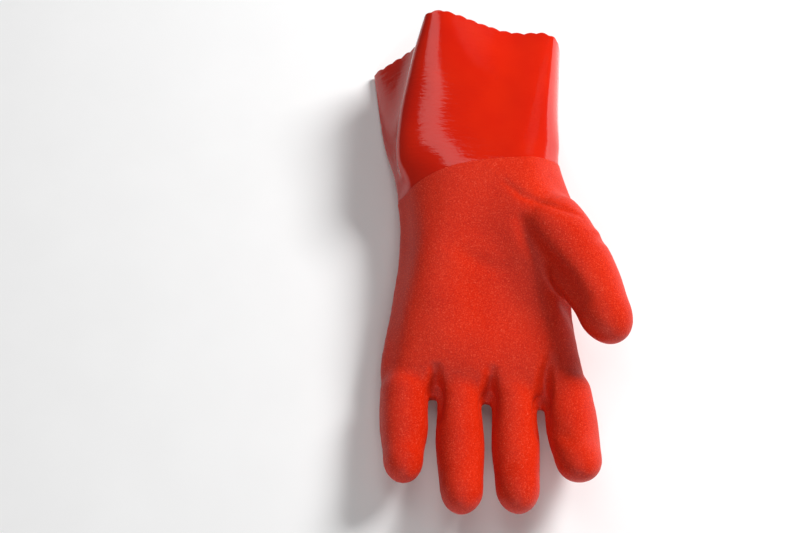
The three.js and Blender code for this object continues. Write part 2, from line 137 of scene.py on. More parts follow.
BODY = np.array(
    [in_millimetres(row, CUFF_LENGTH, MOUTH_WIDTH, MOUTH_HEIGHT) for row in CUFF_ROWS]
    + [in_millimetres(WRIST_ROW, 0.0, WRIST_WIDTH, WRIST_HEIGHT)]
    + [in_millimetres(row, PALM_LENGTH, PALM_WIDTH, PALM_HEIGHT) for row in PALM_ROWS]
)
print("cross-sections", len(BODY), "from y", BODY[0, 0], "to", BODY[-1, 0])

# %% [markdown]
# From a table to a smooth tube
#
# Two curves do the work. One runs through the rows, from the mouth to the webs, so that every value
# of the table is known anywhere along the glove. The other runs round the section, through ten named
# corners, and is cut into evenly spaced points. Both are cubic curves that pass through their points.

# %% Curves through the tables
FOOT_RUN = 0.8  # how far in the flat underside starts, as a share of the left corner's height
UNDERSIDE_RUN = 0.6  # and on the right
SAG_PLACE = 0.65  # where the top sags, between the ridge and the shoulder
CURVE_STEPS = 40  # points between two corners, before they are spaced evenly


def hermite(start, end, slope_start, slope_end, t):
    """A cubic from start to end that has the given slopes at its ends."""
    square = t * t
    cube = square * t
    return (start * (2 * cube - 3 * square + 1) + slope_start * (cube - 2 * square + t)
            + end * (3 * square - 2 * cube) + slope_end * (cube - square))


def smoothstep(low, high, value):
    """0 below low, 1 above high and a soft ramp between."""
    t = np.clip((value - low) / (high - low), 0, 1)
    return t * t * (3 - 2 * t)


def row_at(station):
    """The table's columns at any place along the glove."""
    last = len(BODY) - 1
    here = int(np.clip(np.searchsorted(-BODY[:, 0], -station, side="right") - 1, 0, last - 1))
    before, start, end, after = (BODY[min(max(i, 0), last)] for i in range(here - 1, here + 3))
    span = end[0] - start[0]
    slope_start = (end - before) / (end[0] - before[0]) * span
    slope_end = (after - start) / (after[0] - start[0]) * span
    values = hermite(start, end, slope_start, slope_end, (station - start[0]) / span)
    return dict(zip(COLUMNS, values))


def closed_curve(places, count):
    """A smooth closed line through the places, as evenly spaced points. The root of each distance
    sets the speed at the places, which keeps the line from looping where they lie close."""
    dense = []
    t = np.linspace(0, 1, CURVE_STEPS, endpoint=False)[:, None]
    for i in range(len(places)):
        p = [places[(i + k) % len(places)] for k in (-1, 0, 1, 2)]
        d = [np.linalg.norm(p[k + 1] - p[k]) ** 0.5 for k in range(3)]
        leave = (p[1] - p[0]) / d[0] - (p[2] - p[0]) / (d[0] + d[1]) + (p[2] - p[1]) / d[1]
        arrive = (p[2] - p[1]) / d[1] - (p[3] - p[1]) / (d[1] + d[2]) + (p[3] - p[2]) / d[2]
        dense.append(hermite(p[1], p[2], leave * d[1], arrive * d[1], t))
    dense = np.vstack(dense + [places[:1]])
    steps = np.linalg.norm(np.diff(dense, axis=0), axis=1)
    along = np.concatenate([[0], np.cumsum(steps)])
    wanted = np.linspace(0, along[-1], count, endpoint=False)
    return np.column_stack([np.interp(wanted, along, dense[:, k]) for k in range(2)])


def outline_at(station, count):
    """One cross-section as points (x, z): flat underneath, with the left wall folded in."""
    row = row_at(station)
    left, right, ridge, shoulder = row["left"], row["right"], row["ridge"], row["shoulder"]
    places = np.array([
        ((left + right) / 2, row["lift"]),
        (left + row["foot_z"] * FOOT_RUN, row["lift"]),
        (left, row["foot_z"]),
        ((left + ridge) / 2 + row["pinch"], (row["foot_z"] + row["ridge_z"]) / 2),
        (ridge, row["ridge_z"]),
        (row["crown"], row["crown_z"]),
        (ridge + (shoulder - ridge) * SAG_PLACE, row["sag_z"]),
        (shoulder, row["shoulder_z"]),
        (right, row["right_z"]),
        (right - row["right_z"] * UNDERSIDE_RUN, row["lift"]),
    ])
    return closed_curve(places, count)


print("wrist section", {name: round(value, 1) for name, value in row_at(0.0).items()})

# %% [markdown]
# The palm's soft forms and the sweep of the border
#
# On the palm side the ball of the thumb and the outer heel of the hand stand up, and the palm
# between them is hollow. Each is a round swelling with its own centre, reach and height, added to the
# upper side alone. The line where the rough coat ends isn't straight either: the hand was lowered
# into the bath at a slant, so the line drops towards the little finger. One function says how far
# every point moves along the glove for that, and the hand and the cuff both use it.

# %% Swellings and the slanting border
MOUND_HEIGHT = 7.0  # the ball of the thumb
HEEL_SHARE = 0.3  # how high the outer heel stands, as a share of that
HOLLOW_DEPTH = 7.0
PALM_SIDE = (0.5, 0.95)  # shares of the crown's height where a swelling starts and is full
SWELLINGS = (  # x, y, reach across, reach along (shares of half the width and the length), rise
    (0.56, -0.24, 0.42, 0.22, MOUND_HEIGHT),
    (0.16, -0.58, 0.50, 0.26, -HOLLOW_DEPTH),
    (-0.50, -0.38, 0.34, 0.30, MOUND_HEIGHT * HEEL_SHARE),
)
SWEEP_START = 0.35  # where the border starts to drop, across the glove, in shares of half its width
RISE_START = -0.1  # and where it starts to rise
SWEEP_REACH = 0.8  # how far from the border the slant is felt, in shares of the cuff's length
WALL_KEPT = 0.9  # an inner point is good where it keeps this share of the wall


def raised(ring, station):
    """The outline with the swellings of the palm side, and flat where it rests."""
    x, z = ring[:, 0], ring[:, 1].copy()
    crown = row_at(station)["crown_z"]
    upward = smoothstep(crown * PALM_SIDE[0], crown * PALM_SIDE[1], z)
    for centre_x, centre_y, reach_x, reach_y, rise in SWELLINGS:
        across = (x / (PALM_WIDTH / 2) - centre_x) / reach_x
        along = (station / PALM_LENGTH - centre_y) / reach_y
        z += rise * upward * np.exp(-across ** 2 - along ** 2)
    return np.column_stack([x, np.maximum(z, 0)])


def border(x):
    """Where the rough coat ends, along the glove, for each place across it."""
    across = x / (WRIST_WIDTH / 2)
    low_side = np.clip((SWEEP_START - across) / (1 + SWEEP_START), 0, 1)
    high_side = np.clip((across - RISE_START) / (1 - RISE_START), 0, 1)
    return COAT_RISE * high_side ** 2 - COAT_SWEEP * low_side ** 2


def shift_along(x, z, station):
    """How far a point of the ring at a station moves along the glove."""
    fade = np.clip(1 - abs(station) / (SWEEP_REACH * CUFF_LENGTH), 0, 1)
    toward_mouth = max(station / CUFF_LENGTH, 0)
    toward_webs = np.clip(-station / PALM_LENGTH, 0, 1)
    little_side = np.clip(0.5 - x / PALM_WIDTH, 0, 1)
    return (border(x) * fade + MOUTH_LEAN * z * toward_mouth ** 2
            + WEB_SLANT * little_side * toward_webs ** 3)


def inset(ring, depth):
    """The outline moved into the wall. Where a fold is sharper than the wall is thick, its points
    are spread between those on either side that keep the whole wall."""
    along = np.roll(ring, -1, axis=0) - np.roll(ring, 1, axis=0)
    along /= np.linalg.norm(along, axis=1)[:, None]
    moved = ring + depth * np.column_stack([along[:, 1], -along[:, 0]])
    moved[:, 1] = np.maximum(moved[:, 1], depth)
    apart = np.linalg.norm(moved[:, None] - ring[None], axis=2).min(axis=1)
    clear = np.flatnonzero(apart > depth * WALL_KEPT)
    order = np.arange(len(ring))
    return np.column_stack(
        [np.interp(order, clear, moved[clear, k], period=len(ring)) for k in range(2)])


def body_ring(station, count, depth=0.0):
    """One finished ring of the glove's body, as points (x, y, z)."""
    ring = raised(outline_at(station, count), station)
    if depth:
        ring = inset(ring, depth)
    y = station + shift_along(ring[:, 0], ring[:, 1], station)
    return np.column_stack([ring[:, 0], y, ring[:, 1]])


print("the border drops", round(float(border(0.0) - border(-45.0)), 1), "mm to the left")

# %% [markdown]
# Turning rings into meshes
#
# A mesh is a list of points and a list of faces that name them. Each pair of neighbouring rings is
# joined by a band of four-sided faces, and an open end is closed by a fan. The sign of the volume
# tells whether the faces look outwards, which is safer on a double wall than asking Blender to guess.

# %% Mesh helpers
def loft(rings, ends="capped"):
    """Points and faces of a tube through the rings: capped at both ends, or looped on itself."""
    rings = np.asarray(rings)
    rows, count = rings.shape[:2]
    points = rings.reshape(-1, 3)
    last = rows if ends == "looped" else rows - 1
    here = np.arange(last)[:, None] * count + np.arange(count)[None]
    turned = np.arange(last)[:, None] * count + (np.arange(count) + 1)[None] % count
    up = (here + count) % (rows * count)
    up_turned = (turned + count) % (rows * count)
    faces = np.stack([here, turned, up_turned, up], axis=-1).reshape(-1, 4).tolist()
    if ends == "capped":
        hubs = [rings[0].mean(axis=0), rings[-1].mean(axis=0)]
        start = len(points)
        points = np.vstack([points, hubs])
        for i in range(count):
            k = (i + 1) % count
            top = (rows - 1) * count
            faces.append([start, k, i])
            faces.append([start + 1, top + i, top + k])
    return points, faces


def make_mesh(name, points, faces):
    """A new object from points and faces, turned so that its faces look outwards."""
    mesh = bpy.data.meshes.new(name)
    mesh.from_pydata(points.tolist(), [], faces)
    mesh.calc_loop_triangles()
    corners = np.array([points[list(t.vertices)] for t in mesh.loop_triangles])
    volume = np.einsum("ij,ij->i", corners[:, 0], np.cross(corners[:, 1], corners[:, 2])).sum() / 6
    if volume < 0:
        mesh.flip_normals()
    thing = bpy.data.objects.new(name, mesh)
    bpy.context.scene.collection.objects.link(thing)
    return thing


def read_vectors(items, label):
    """One vector of every item as the rows of an array."""
    flat = np.empty(len(items) * 3)
    items.foreach_get(label, flat)
    return flat.reshape(-1, 3)


def points_of(thing):
    """The places of the object's points."""
    return read_vectors(thing.data.vertices, "co")


def normals_of(thing):
    """The direction that the surface faces at every point."""
    return read_vectors(thing.data.vertex_normals, "vector")


def set_points(thing, points):
    """Moves the object's points to new places."""
    thing.data.vertices.foreach_set("co", points.ravel())
    thing.data.update()


def make_plain(thing):
    """Applies every modifier and leaves a plain mesh."""
    evaluated = thing.evaluated_get(bpy.context.evaluated_depsgraph_get())
    mesh = bpy.data.meshes.new_from_object(evaluated)
    thing.modifiers.clear()
    thing.data = mesh


# %% [markdown]
# Fingers and thumb
#
# Each digit is a tube along its own centre line. The line leaves the palm flat and curls up, more and
# more towards the tip, as the dipped glove keeps the relaxed hand's form. Its width swells from the
# root and narrows to the tip, and a dome closes it. A screw or a skin modifier could make such tubes
# too, but neither would let the width, the curl and the splay be set apart from each other.

# %% Digits
FINGER_THICKNESS = 26.0
THUMB_THICKNESS = 33.0
DIGIT_SIDES = 48
DIGIT_RINGS = 44
DOME_RINGS = 12
AXIS_STEPS = 96
CURL_LAG = 1 / 24  # the curl is felt this share of the length late
DOME_STRETCH = 1.35  # how much longer the round end is than a half ball
DOME_END = math.radians(86)  # just short of a right angle, so that the last ring isn't a point
WIDTH_STOPS = (0.0, 0.25, 0.6, 1.0)  # root, base, full width and tip, in shares of the tube
# start x, y, z in shares of the palm, length, width, thickness, the shares of the width at the root,
# base and tip, and the splay and the curl at the root and the tip in degrees
DIGITS = {
    "little": (-0.77, -0.83, 0.4, 69.5, 27.0, FINGER_THICKNESS, 0.62, 1.02, 0.82, -1, 0, 0, 40),
    "ring": (-0.235, -0.83, 0.4, 89.0, 27.0, FINGER_THICKNESS, 0.62, 0.91, 0.86, 0, 0, 0, 44),
    "middle": (0.3, -0.83, 0.4, 89.5, 26.5, FINGER_THICKNESS, 0.62, 0.94, 0.91, 0, -1, 0, 50),
    "index": (0.8, -0.83, 0.4, 76.0, 29.0, FINGER_THICKNESS, 0.62, 0.93, 0.89, 5, 1, 4, 66),
    "thumb": (0.46, -0.15, 0.66, 106.0, 37.5, THUMB_THICKNESS, 0.8, 1.16, 0.80, 41, 7, 12, 6),
}


def digit_line(start, length, splay, splay_tip, curl, curl_tip):
    """A digit's centre line and the way it heads, at even steps from root to tip."""
    shares = np.linspace(0, 1, AXIS_STEPS + 1)
    late = np.clip(shares - CURL_LAG, 0, 1)
    lift = np.radians(curl + (curl_tip - curl) * late ** 2)
    turn = np.radians(splay + (splay_tip - splay) * late)
    ahead = np.column_stack([np.sin(turn) * np.cos(lift), -np.cos(turn) * np.cos(lift), np.sin(lift)])
    line = start + np.vstack([np.zeros(3), np.cumsum(ahead[:-1], axis=0)]) * length / AXIS_STEPS
    return shares, line, ahead


def ring_places(dome_start, dome):
    """How far each ring is from the root, and its width as a share of the tube's."""
    tube = [(dome_start * i / DIGIT_RINGS, 1.0) for i in range(DIGIT_RINGS)]
    angles = np.linspace(0, DOME_END, DOME_RINGS)
    return tube + [(dome_start + dome * math.sin(a), math.cos(a)) for a in angles]


def slimness(along, widths):
    """The tube's width at a share of its length, blended between the widths at the stops."""
    last = len(WIDTH_STOPS) - 1
    stop = max(1, min(int(np.searchsorted(WIDTH_STOPS, along, side="left")), last))
    blend = smoothstep(WIDTH_STOPS[stop - 1], WIDTH_STOPS[stop], along)
    return widths[stop - 1] + (widths[stop] - widths[stop - 1]) * blend


def digit_rings(x, y, z, length, width, thickness, root, base, tip, splay, splay_tip, curl, curl_tip):
    """The rings of one digit, from inside the palm to the end of its dome."""
    start = np.array([x * PALM_WIDTH / 2, y * PALM_LENGTH, z * PALM_HEIGHT])
    shares, line, ahead = digit_line(start, length, splay, splay_tip, curl, curl_tip)
    dome = DOME_STRETCH * width * tip / 2
    dome_start = length - dome
    angle = np.linspace(0, 2 * math.pi, DIGIT_SIDES, endpoint=False)[:, None]
    rings = []
    for distance, roundness in ring_places(dome_start, dome):
        share = distance / length
        centre = np.array([np.interp(share, shares, line[:, k]) for k in range(3)])
        direction = np.array([np.interp(share, shares, ahead[:, k]) for k in range(3)])
        across = np.array([-direction[1], direction[0], 0.0])
        across /= np.linalg.norm(across)
        upward = np.cross(direction, across)
        upward /= np.linalg.norm(upward)
        slim = slimness(min(distance / dome_start, 1.0), (root, base, 1.0, tip))
        ring = (centre + np.cos(angle) * across * width / 2 * slim * roundness
                + np.sin(angle) * upward * thickness / 2 * slim * roundness)
        ring[:, 2] = np.maximum(ring[:, 2], 0)
        rings.append(ring)
    return rings


print("digits", {name: f"{row[3]} mm long" for name, row in DIGITS.items()})

# %% [markdown]
# One skin for the whole hand
#
# The palm and the five digits overlap, and the real coat flows over all of them as one skin with soft
# webs. Booleans would leave a sharp crease at every joint. A voxel remesh wraps the overlapping forms
# in one new skin of even little squares instead. The skin is then relaxed: each point moves part of
# the way to the middle of its neighbours, many times over and hardest where two forms meet, so that
# the webs and the root of the thumb become soft valleys while the fingers keep their size.

# %% Join and relax the hand
VOXEL = 1.3  # the squares of the new skin
PALM_STEP = 2.5
PALM_CORNERS = 160
PAST_WRIST = 16.0  # the palm is lofted past the border and cut there later
EASE = 0.5  # how far one round of relaxing moves a point towards its neighbours' middle
SKIN_ROUNDS = 10
WEB_ROUNDS = 40
FINGER_BLEND = 3.0  # reach of the soft valleys at the fingers' roots
THUMB_BLEND = 7.0  # and at the thumb's
stations = np.arange(PAST_WRIST, -PALM_LENGTH, -PALM_STEP)
forms = {"palm": loft([body_ring(s, PALM_CORNERS) for s in [*stations, -PALM_LENGTH]])}
for name, row in DIGITS.items():
    forms[name] = loft(digit_rings(*row))


def joined(lofts):
    """Several lofts as one list of points and one of faces."""
    points, faces = [], []
    for some_points, some_faces in lofts:
        start = sum(len(p) for p in points)
        points.append(some_points)
        faces.extend([[start + i for i in face] for face in some_faces])
    return np.vstack(points), faces


def outward(name, form):
    """A loft whose faces look outwards, as points and faces."""
    thing = make_mesh(name, *form)
    result = points_of(thing), [list(p.vertices) for p in thing.data.polygons]
    bpy.data.objects.remove(thing)
    return result


forms = {name: outward(name, form) for name, form in forms.items()}
hand = make_mesh("rough_vinyl_hand", *joined(forms.values()))
remesh = hand.modifiers.new("skin", "REMESH")
remesh.mode = "VOXEL"
remesh.voxel_size = VOXEL
make_plain(hand)


def relax(thing, rounds, amount, keep_ridges=False):
    """Moves each point part of the way to the middle of its neighbours, amount per point. With
    keep_ridges, valleys are filled and no point ends up further in than it was."""
    edges = np.empty(len(thing.data.edges) * 2, dtype=np.int64)
    thing.data.edges.foreach_get("vertices", edges)
    a, b = edges.reshape(-1, 2).T
    points, facing = points_of(thing), normals_of(thing)
    before = points.copy()
    count = np.bincount(edges, minlength=len(points))[:, None]
    for _ in range(rounds):
        total = np.column_stack([
            np.bincount(a, points[b, k], len(points)) + np.bincount(b, points[a, k], len(points))
            for k in range(3)])
        points += amount[:, None] * (total / count - points)
    if keep_ridges:
        moved_out = np.einsum("ij,ij->i", points - before, facing)
        points -= np.minimum(moved_out, 0)[:, None] * facing
    points[:, 2] = np.maximum(points[:, 2], 0)
    set_points(thing, points)


def distance_to(form, points):
    """How far each point is from the surface of a form."""
    tree = BVHTree.FromPolygons(form[0].tolist(), form[1])
    return np.array([tree.find_nearest(Vector(p))[3] for p in points])


def meeting(points, form_a, form_b, reach):
    """1 where the skin lies on both forms, fading with its distance from either."""
    apart = np.hypot(distance_to(form_a, points), distance_to(form_b, points))
    return np.exp(-(apart / reach) ** 2)


skin = points_of(hand)
fingers = [forms[name] for name in DIGITS if name != "thumb"]
at_fingers = meeting(skin, forms["palm"], joined(fingers), FINGER_BLEND)
at_thumb = meeting(skin, forms["palm"], forms["thumb"], THUMB_BLEND)
relax(hand, WEB_ROUNDS, EASE * np.maximum(at_fingers, at_thumb), keep_ridges=True)
relax(hand, SKIN_ROUNDS, np.full(len(skin), EASE))
print("skin of", len(hand.data.vertices), "points")

# %% [markdown]
# The cuff
#
# The gauntlet is an open sleeve, 2 mm thick, that flares to a scalloped mouth, because the real one is
# trimmed with a wavy blade. It is one grid of rings: up the outside, over the rounded lip, down the
# inside and closed below, where it slips under the rough coat. A Solidify modifier could give the
# wall, but it would cross itself in the sharp fold on the left, so the inside has rings of its own.

# %% Loft the cuff
CUFF_CORNERS = 360
CUFF_STEP = 1.6
LIP = 0.5  # how far the mouth's lip bulges past its corners
LIP_SHARES = (0.25, 0.5, 0.75)  # where its rings lie in the wall
TUCK = 0.35  # how far the cuff steps in under the rough coat
TUCK_START = 0.4  # where that step starts along the glove
TUCK_END = -0.8  # and where it ends


def cuff_depth(station):
    """How far the outside lies under the glove's outline: nothing, but for the tucked-in end."""
    return TUCK * float(smoothstep(TUCK_START, TUCK_END, station))


def cuff_rings():
    """The rings of the cuff's closed wall, and how far each is from the mouth."""
    steps = int((CUFF_LENGTH + LAP) / CUFF_STEP)
    up = np.linspace(-LAP, CUFF_LENGTH, steps)
    rings = [body_ring(s, CUFF_CORNERS, cuff_depth(s)) for s in up]
    away = list(CUFF_LENGTH - up)
    for share in LIP_SHARES:
        lip = body_ring(CUFF_LENGTH, CUFF_CORNERS, WALL * share)
        lip[:, 1] += LIP * math.sin(math.pi * share)
        rings.append(lip)
        away.append(0.0)
    rings += [body_ring(s, CUFF_CORNERS, WALL) for s in up[::-1]]
    away += list(CUFF_LENGTH - up[::-1])
    return np.array(rings), np.array(away)


rings, away = cuff_rings()
cuff = make_mesh("smooth_vinyl_cuff", *loft(rings, ends="looped"))
mouth = rings[np.argmin(away)]
steps = np.linalg.norm(np.roll(mouth, -1, axis=0) - mouth, axis=1)
around = np.concatenate([[0], np.cumsum(steps)[:-1]])
MOUTH_GIRTH = float(steps.sum())
for label, values in (("around", np.tile(around, len(rings))),
                      ("from_mouth", np.repeat(away, CUFF_CORNERS))):
    attribute = cuff.data.attributes.new(label, "FLOAT", "POINT")
    attribute.data.foreach_set("value", values.astype(np.float32))
print("cuff of", len(cuff.data.vertices), "points, mouth", round(MOUTH_GIRTH), "mm round")

# %% [markdown]
# Where the wrist line lies
#
# So far the wrist line is at y = 0. In the finished part the origin is the middle of the glove's box,
# so both pieces are moved there. The move isn't typed in: the new cuff has the same outline as the
# packed one, so the difference between the two boxes gives it.

# %% Move both pieces into the part's frame
packed_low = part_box("gauntlet_cuff")[0]
own = points_of(cuff)
ORIGIN = np.array([packed_low.x / MM - own[:, 0].min(), packed_low.y / MM - own[:, 1].min(), 0.0])
set_points(cuff, own + ORIGIN)
set_points(hand, points_of(hand) + ORIGIN)
print("the wrist line's middle is at", ORIGIN.round(2), "mm")

# %% [markdown]
# Where the rough coat ends
#
# The second dip stops at a crisp line, half a millimetre thick, that lies over the smooth coat. The
# skin was made to run on past that line, so here it is cut. The line is curved, and a cut is flat, so
# the slant of the border is taken out of the skin first, the cut is made straight across, and the
# slant is put back. Near the line the skin is then lifted clear of the cuff by the coat's thickness.

# %% Cut the hand at the border
import bmesh

COAT_STEP = 0.5  # the rough coat's own thickness
LIFT_LENGTH = 20.0  # how far from the border the skin starts to lift
LIFT_FULL = 2.0  # and where it has lifted all the way
CUT_TOLERANCE = 0.05  # a point this near to the cut counts as on it


def past_border(points):
    """How far each point lies past the border, towards the mouth, in millimetres."""
    return points[:, 1] - ORIGIN[1] - border(points[:, 0] - ORIGIN[0])


def slide(thing, way):
    """Takes the border's slant out of the object's points, or puts it back."""
    points = points_of(thing)
    points[:, 1] += way * border(points[:, 0] - ORIGIN[0])
    set_points(thing, points)


slide(hand, -1)
cutter = bmesh.new()
cutter.from_mesh(hand.data)
everything = cutter.verts[:] + cutter.edges[:] + cutter.faces[:]
bmesh.ops.bisect_plane(cutter, geom=everything, dist=CUT_TOLERANCE,
                       plane_co=(0, ORIGIN[1], 0), plane_no=(0, 1, 0), clear_outer=True)
cutter.to_mesh(hand.data)
cutter.free()
slide(hand, 1)
skin = points_of(hand)
lift = COAT_STEP * smoothstep(-LIFT_LENGTH, -LIFT_FULL, past_border(skin))
skin += normals_of(hand) * lift[:, None]
skin[:, 2] = np.maximum(skin[:, 2], 0)
set_points(hand, skin)
print("cut at the border:", len(skin), "points are left")

# %% [markdown]
# Creases and dents
#
# The coat keeps the creases that the hand form pressed into it: one across the root of the thumb, soft
# ones over the palm and below the webs, and shallow dents near the ends of two fingers. Each is a
# line of places on the palm side, with a depth and a reach. Points near the line sink along their own
# normal, and the line fades out at both ends. The deepest, such as the pits between the fingers, are
# relaxed afterwards, because dipped vinyl has no sharp valleys. A bump map could draw such creases
# too, but they would be missing from the mesh and from its outline.

# %% Press the creases in
PALM_FACING = 0.1  # a crease only reaches the side that looks up at least this much
PALM_RAMP = 0.4  # and has its full depth where the side looks up this much more
FLOOR_RAMP = 2.0  # a crease fades out over this height above and below the lowest z
LINE_END = 0.06  # a line's very ends are as deep as it is this share of the way in
FADE_POWER = 0.7  # below 1, so that a line keeps its depth for most of its length
PIT_ROUNDS = 8  # rounds that soften the deepest creases
PIT_START = 0.5  # which are those over this depth
PIT_FULL = 3.0  # and are softened all the way from this one
# places x, y in the part's frame, lowest z that is reached, depth (or height, if negative), reach
CREASES = {
    "root of the thumb": (((4, 41), (13.5, 32), (21, 28.5), (33, 22.6), (46, 18)), 30, 1.6, 2.0),
    "above the thumb's root": (((10, 24), (22, 20), (34, 14), (44, 10)), 36, -0.6, 6.0),
    "line across the palm": (((-27, 4), (-14, -4), (-1, -9), (12, -8)), 20, 0.9, 5.0),
    "hollow beside the thumb": (((12, 17), (17, 6), (26, -8), (36, -22), (43, -35)), 12, 3.5, 4.0),
    "web of the little finger": (((-36, -92), (-36, -79), (-36.5, -67)), 6, 7.5, 3.0),
    "web of the ring finger": (((-7.5, -96), (-7, -82), (-5.5, -68)), 6, 8.0, 3.0),
    "web of the middle finger": (((21.3, -102), (22, -85), (24.5, -70), (27, -60)), 6, 9.0, 3.0),
    "dent of the middle finger": (((-2, -127), (4, -121), (11, -115)), 20, 0.7, 4.0),
    "dent of the index finger": (((28, -101), (33, -108), (38, -113)), 20, 0.9, 4.0),
    "fold in the thumb's side": (((55, 2), (58, 5), (62, 7)), 20, 1.1, 2.4),
    "bulge over that fold": (((52, 7), (56, 10.5), (59, 13)), 20, -0.7, 3.0),
    "tip of the little finger": (((-51, -117), (-48, -115)), 20, -0.6, 2.2),
}


def press(points, normals, path, floor, depth, reach):
    """Sinks the palm side along a line of places, less and less towards the line's ends."""
    places = np.array(path, float)
    lengths = np.linalg.norm(np.diff(places, axis=0), axis=1)
    starts = np.concatenate([[0], np.cumsum(lengths)])
    nearest = np.full(len(points), np.inf)
    along = np.zeros(len(points))
    for start, end, length, offset in zip(places, places[1:], lengths, starts):
        share = np.clip(((points[:, :2] - start) @ (end - start)) / length ** 2, 0, 1)
        apart = np.linalg.norm(points[:, :2] - start - share[:, None] * (end - start), axis=1)
        closer = apart < nearest
        nearest[closer] = apart[closer]
        along[closer] = (offset + share * length)[closer] / starts[-1]
    fade = np.sin(np.pi * np.clip(along, LINE_END, 1 - LINE_END)) ** FADE_POWER
    upward = smoothstep(PALM_FACING, PALM_FACING + PALM_RAMP, normals[:, 2])
    upward = upward * smoothstep(floor - FLOOR_RAMP, floor + FLOOR_RAMP, points[:, 2])
    return depth * fade * upward * np.exp(-(nearest / reach) ** 2)


skin, facing = points_of(hand), normals_of(hand)
deepest = np.zeros(len(skin))
for name, (path, floor, depth, reach) in CREASES.items():
    sunk = press(skin, facing, path, floor, depth, reach)
    skin = skin - facing * sunk[:, None]
    deepest = np.maximum(deepest, sunk)
    print(name, "moves", int((np.abs(sunk) > 0.05).sum()), "points")
set_points(hand, skin)
relax(hand, PIT_ROUNDS, EASE * smoothstep(PIT_START, PIT_FULL, deepest))

# %% [markdown]
# The slight waviness of dipped vinyl
#
# Dipped vinyl is never quite even: it runs a little while it sets, so its surface has soft waves a few
# centimetres long. On the matt hand they only cloud the shading, but on the shiny cuff they bend every
# reflection, and without them it would look like turned plastic. Noise moves the points along
# their normals by a fraction of a millimetre. It is the same noise on each run, since it has no seed.

# %% Add the soft waves
from mathutils import noise

HAND_WAVE = 17.0  # the waves' length
CUFF_WAVE = 30.0
WAVE_HEIGHT = 0.5
STILL = 10.0  # the cuff's waves start at the border and are full this far from it


def wavy(thing, length, height, keep=None):
    """Moves the points in and out by soft waves of a given length and height, in millimetres."""
    points, normals = points_of(thing), normals_of(thing)
    waves = np.array([noise.noise(Vector(p) / length) for p in points]) * height
    if keep is not None:
        waves = waves * keep
    points = points + normals * waves[:, None]
    points[:, 2] = np.maximum(points[:, 2], 0)
    set_points(thing, points)
    return float(np.abs(waves).max())


print("waves on the hand up to", round(wavy(hand, HAND_WAVE, WAVE_HEIGHT), 2), "mm")
sleeve = points_of(cuff)
clear_of_coat = smoothstep(0.0, STILL, past_border(sleeve))
highest = wavy(cuff, CUFF_WAVE, WAVE_HEIGHT, clear_of_coat)
print("waves on the cuff up to", round(highest, 2), "mm")

# %% [markdown]
# The wall of the hand
#
# The hand is still one skin, open at the wrist. Solidify gives it its inside: it copies the skin 2 mm
# inwards and closes the rim. A weight on every point thins the wall to the bare coat where it laps
# over the cuff, so that the two pieces lie in each other and don't cross.

# %% Give the hand its thickness
LAP_WALL = 0.4  # what is left of the wall over the cuff
THIN_START = 2.2  # how far before the lap the wall starts to thin
THIN_END = 0.8  # and has thinned all the way
lapped = smoothstep(-LAP - THIN_START, -LAP - THIN_END, past_border(points_of(hand)))
group = hand.vertex_groups.new(name="full_wall")
for index, share in enumerate(1 - lapped):
    group.add([index], float(share), "REPLACE")
wall = hand.modifiers.new("wall", "SOLIDIFY")
wall.thickness = WALL
wall.offset = -1
wall.vertex_group = group.name
wall.thickness_vertex_group = LAP_WALL / WALL
make_plain(hand)
hand.vertex_groups.clear()
print("hand with its wall:", len(hand.data.polygons), "faces")

# %% [markdown]
# Colours and a helper for nodes
#
# A colour picked from a picture is sRGB, and Blender's sockets want linear light, so one function
# turns a hex value into what they take. A second small function adds a node, sets what it is given by
# name and links what it is given, so that each material below reads as a short list and only has to
# return its shader.

# %% Material helpers
def colour(hex_code):
    """An sRGB hex colour as the linear numbers of Blender's sockets."""
    parts = [int(hex_code[i:i + 2], 16) / 255 for i in (1, 3, 5)]
    linear = [p / 12.92 if p <= 0.04045 else ((p + 0.055) / 1.055) ** 2.4 for p in parts]
    return (*linear, 1.0)


def add(tree, kind, settings=None, links=None):
    """Adds a node: settings are its properties or socket values, links are its incoming sockets."""
    node = tree.nodes.new(kind)
    for name, value in (settings or {}).items():
        if hasattr(node, name):
            setattr(node, name, value)
        else:
            node.inputs[name].default_value = value
    for name, source in (links or {}).items():
        tree.links.new(source, node.inputs[name])
    return node


def make_material(build):
    """A material named after the function that builds its shader."""
    material = bpy.data.materials.new(build.__name__)
    material.use_nodes = True
    tree = material.node_tree
    tree.nodes.clear()
    add(tree, "ShaderNodeOutputMaterial", links={"Surface": build(tree).outputs[0]})
    print("made", material.name)
    return material


def ramp(tree, source, stops):
    """A colour ramp over the source, with (place, hex colour) stops."""
    node = add(tree, "ShaderNodeValToRGB", links={"Fac": source})
    elements = node.color_ramp.elements
    while len(elements) < len(stops):
        elements.new(0.5)
    for element, (place, hex_code) in zip(elements, stops):
        element.position = place
        element.color = colour(hex_code)
    return node.outputs["Color"]


def stretched(tree, grain_mm):
    """Object coordinates scaled so that a noise of scale 1 has this grain, one size or three."""
    place = add(tree, "ShaderNodeTexCoord").outputs["Object"]
    scale = [1 / (float(size) * MM) for size in np.broadcast_to(grain_mm, 3)]
    return add(tree, "ShaderNodeMapping", {"Scale": scale}, {"Vector": place}).outputs[0]


def noise_of(tree, grain_mm, detail=2.0, roughness=0.5):
    """Noise whose blobs are about this size in millimetres, or these sizes along x, y and z."""
    return add(tree, "ShaderNodeTexNoise", {"Scale": 1.0, "Detail": detail, "Roughness": roughness},
               {"Vector": stretched(tree, grain_mm)}).outputs["Fac"]


print("the coat's red is", [round(value, 3) for value in colour("#CA2000")[:3]], "in linear light")

